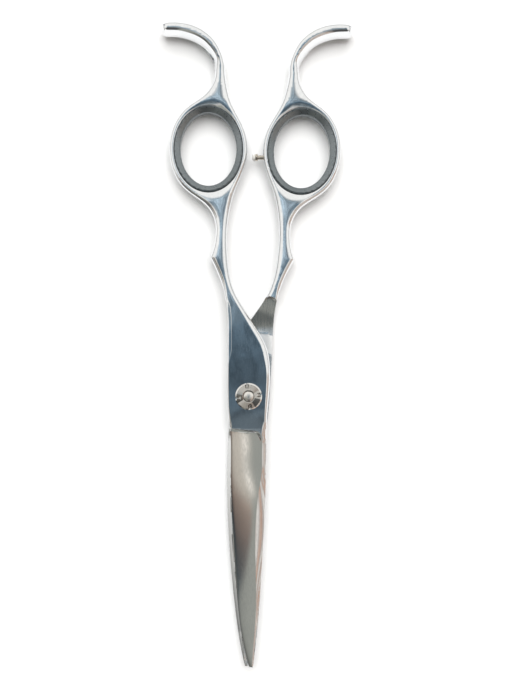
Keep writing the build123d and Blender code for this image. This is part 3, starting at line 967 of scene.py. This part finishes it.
front_mesh, front = build_half("front_half", 1, BUSH_RADIUS, [(POCKET_RADIUS, POCKET_FLOOR)])
back_recesses = [(HEAD_RADIUS, HALF_THICK - HEAD_THICK), (WASHER_RADIUS, FACE_GAP + WASHER_DEPTH)]
back_mesh, back = build_half("back_half", -1, SHANK_RADIUS, back_recesses)
for mesh, face, body, node in ((front_mesh, 1, "front", "front_half"), (back_mesh, -1, "back", "back_half")):
    paint_inner(mesh, face)
    add_piece(mesh, body, [polished, ground], node)
for half, body in ((front, "front"), (back, "back")):
    mesh = build_insert(body + "_insert_ring", half.bore)
    add_piece(mesh, body, [grip], body + "_ring_insert")
add_piece(build_dial(), "dial", [nickel, nickel_with_painted_highlight], "tension_dial")
add_piece(build_bolt(), "back", [turned], "pivot_bolt")
stem_mesh, cap_mesh = build_bumper()
add_piece(stem_mesh, "back", [dark_metal], "bumper_stem")
add_piece(cap_mesh, "back", [silicone], "bumper_cap")
for node, material in (("disc_spring", spring), ("click_plate", spring), ("pivot_bush", bronze),
                       ("glide_washer", acetal)):
    repaint(node, material)


# ---- floor, light and camera
def build_floor():
    low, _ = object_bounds()
    z = low[2] - 0.00005
    mesh = bpy.data.meshes.new("studio_floor")
    corners = [(x * FLOOR_SIZE, y * FLOOR_SIZE, z) for x, y in ((-1, -1), (1, -1), (1, 1), (-1, 1))]
    mesh.from_pydata(corners, [], [(0, 1, 2, 3)])
    floor = bpy.data.objects.new("studio_floor", mesh)
    scene.collection.objects.link(floor)
    material, tree, shader = new_material("studio_white")
    slow = tree.noise(tree.stretched(), 12.0)
    tree.put(shader, {"Base Color": tree.mix(slow, (0.90, 0.90, 0.90), (0.94, 0.94, 0.94)),
                      "Roughness": 0.9, "Specular IOR Level": 0.0})
    mesh.materials.append(material)


def build_world():
    """White studio seen in the steel: a dim blue ceiling round the lens, warm and dark patches beside it."""
    world = bpy.data.worlds.new("studio")
    scene.world = world
    world.use_nodes = True
    tree = Nodes(world.node_tree)
    direction = tree.add("ShaderNodeTexCoord").outputs["Generated"]
    swirl = tree.add("ShaderNodeTexNoise", {"Vector": direction, "Scale": 5.0, "Detail": 0.0})
    shift = tree.vector("SUBTRACT", swirl.outputs["Color"], (0.5, 0.5, 0.5))
    bent = tree.vector("ADD", direction, tree.scaled(shift, 0.09))
    x, y, z = tree.axes(bent)
    patch = tree.noise(direction, 26.0)
    streaks = tree.noise(direction, 9.0)

    def ramp(value, stops):
        node = tree.add("ShaderNodeValToRGB", {"Fac": value})
        elements = node.color_ramp.elements
        while len(elements) < len(stops):
            elements.new(0.5)
        for element, (place, colour) in zip(elements, stops):
            element.position = place
            element.color = (*colour, 1)
        return node.outputs["Color"]

    def both(*masks):
        product = masks[0]
        for mask in masks[1:]:
            product = tree.math("MULTIPLY", product, mask)
        return product

    white = (1.03, 1.02, 0.99)
    front_back = tree.remap(y, -0.95, 0.75, smooth=False)
    sky = ramp(front_back, [
        (0.0, (0.12, 0.12, 0.12)), (0.2, (0.06, 0.065, 0.07)), (0.3, (0.2, 0.2, 0.195)),
        (0.4, (0.60, 0.59, 0.56)), (0.55, white), (1.0, white)])
    haze = both(tree.remap(z, 0.26, 0.14, 0.0, 0.4), tree.remap(z, 0.0, 0.04))
    level = both(tree.remap(z, 0.05, 0.75, 0.72, 1.0), tree.math("SUBTRACT", 1.0, haze))
    sky = tree.scaled(sky, level)
    # Warm and grey things low on the right, seen in the spine bevel.
    low_right = both(tree.remap(z, 0.93, 0.82), tree.remap(x, 0.25, 0.38), tree.remap(y, 0.01, -0.07))
    warm = ramp(tree.remap(streaks, 0.35, 0.65), [
        (0.0, (0.50, 0.33, 0.25)), (0.35, (0.66, 0.52, 0.44)), (0.52, (0.33, 0.32, 0.31)),
        (0.7, (0.58, 0.52, 0.47)), (1.0, (0.80, 0.77, 0.72))])
    sky = tree.mix(low_right, sky, warm)
    # Left of the lens: beige, then brown, a dark patch and grey, seen down the ground face.
    slant = tree.math("MULTIPLY_ADD", x, 0.5, 0.235)
    down = tree.remap(tree.math("ADD", y, slant), 0.0, -0.5, smooth=False)
    ground_face = ramp(down, [
        (0.0, (0.60, 0.55, 0.47)), (0.23, (0.56, 0.51, 0.44)), (0.32, (0.36, 0.28, 0.23)),
        (0.42, (0.24, 0.19, 0.165)), (0.5, (0.125, 0.125, 0.125)), (0.56, (0.095, 0.115, 0.125)),
        (0.61, (0.13, 0.15, 0.155)), (0.66, (0.26, 0.265, 0.25)), (1.0, (0.38, 0.38, 0.36))])
    bright = both(tree.remap(x, -0.43, -0.385), tree.remap(x, -0.335, -0.385), tree.remap(y, -0.165, -0.11))
    ground_face = tree.mix(bright, ground_face, (0.95, 0.89, 0.80))
    drift = tree.math("MULTIPLY_ADD", y, -0.79, -0.082)
    near_lens = tree.remap(tree.math("ADD", x, drift), -0.395, -0.345)
    near_lens = both(near_lens, tree.math("SUBTRACT", 1.0, bright))
    ground_face = tree.mix(near_lens, ground_face, (0.345, 0.35, 0.315))
    ground_face = tree.scaled(ground_face, tree.remap(x, -0.43, -0.62, 1.0, 0.45))
    left = both(tree.remap(x, -0.2, -0.28), tree.remap(x, -0.73, -0.66), tree.remap(y, 0.02, -0.05))
    sky = tree.mix(left, sky, ground_face)
    # The dim ceiling round the lens, stretched towards +Y.
    stretch = tree.math("MAXIMUM", tree.math("MULTIPLY", y, 0.6), tree.math("MULTIPLY", y, -0.55))
    reach = tree.math("SQRT", tree.math("ADD", both(x, x), both(stretch, stretch)))
    ceiling = ramp(tree.remap(y, -0.3, 0.4, smooth=False), [
        (0.0, (0.26, 0.30, 0.32)), (0.2, (0.14, 0.17, 0.19)), (0.34, (0.075, 0.107, 0.135)),
        (0.46, (0.09, 0.135, 0.175)), (0.56, (0.27, 0.35, 0.41)), (0.65, (0.42, 0.52, 0.60)),
        (0.8, (0.33, 0.42, 0.48)), (0.95, (0.24, 0.31, 0.37))])
    right_side = tree.remap(x, -0.08, 0.14, 1.15, 0.5)
    change = both(tree.math("SUBTRACT", right_side, 1.0), tree.remap(y, 0.06, 0.12))
    toned = tree.math("ADD", 1.0, change)
    ceiling = tree.scaled(ceiling, both(tree.remap(patch, 0.36, 0.64, 0.62, 1.5), toned))
    sky = tree.mix(tree.remap(reach, 0.27, 0.16), sky, ceiling)
    # Behind the object the camera sees a plain pale wall, and matt surfaces get a little less of the sky.
    background = world.node_tree.nodes["Background"]
    path = tree.add("ShaderNodeLightPath").outputs
    tree.set(background.inputs["Color"], tree.mix(path["Is Camera Ray"], sky, (0.90, 0.90, 0.89)))
    diffuse = path["Is Diffuse Ray"]
    tree.set(background.inputs["Strength"], tree.remap(diffuse, 0.0, 1.0, 1.0, 0.85, smooth=False))


def build_key_light():
    """Large soft light above and behind the handles, aimed at the pivot and unseen in the steel."""
    data = bpy.data.lights.new("key", "AREA")
    data.energy = 60.0
    data.size = 2.4
    light = bpy.data.objects.new("key", data)
    place = Vector((0.08, 1.08, 2.08))
    light.location = place
    light.rotation_euler = (-place).to_track_quat("-Z", "Y").to_euler()
    light.visible_glossy = False
    scene.collection.objects.link(light)


def build_camera():
    camera = bpy.data.cameras.new("camera")
    camera.lens = SENSOR * CAMERA_HEIGHT / VIEW_HEIGHT
    camera.sensor_width = SENSOR
    camera.clip_start = 0.01
    holder = bpy.data.objects.new("camera", camera)
    holder.location = (0.0043, 0.0144, CAMERA_HEIGHT * MM)
    scene.collection.objects.link(holder)
    scene.camera = holder


build_floor()
build_world()
build_key_light()
build_camera()
scene.view_settings.view_transform = "Standard"
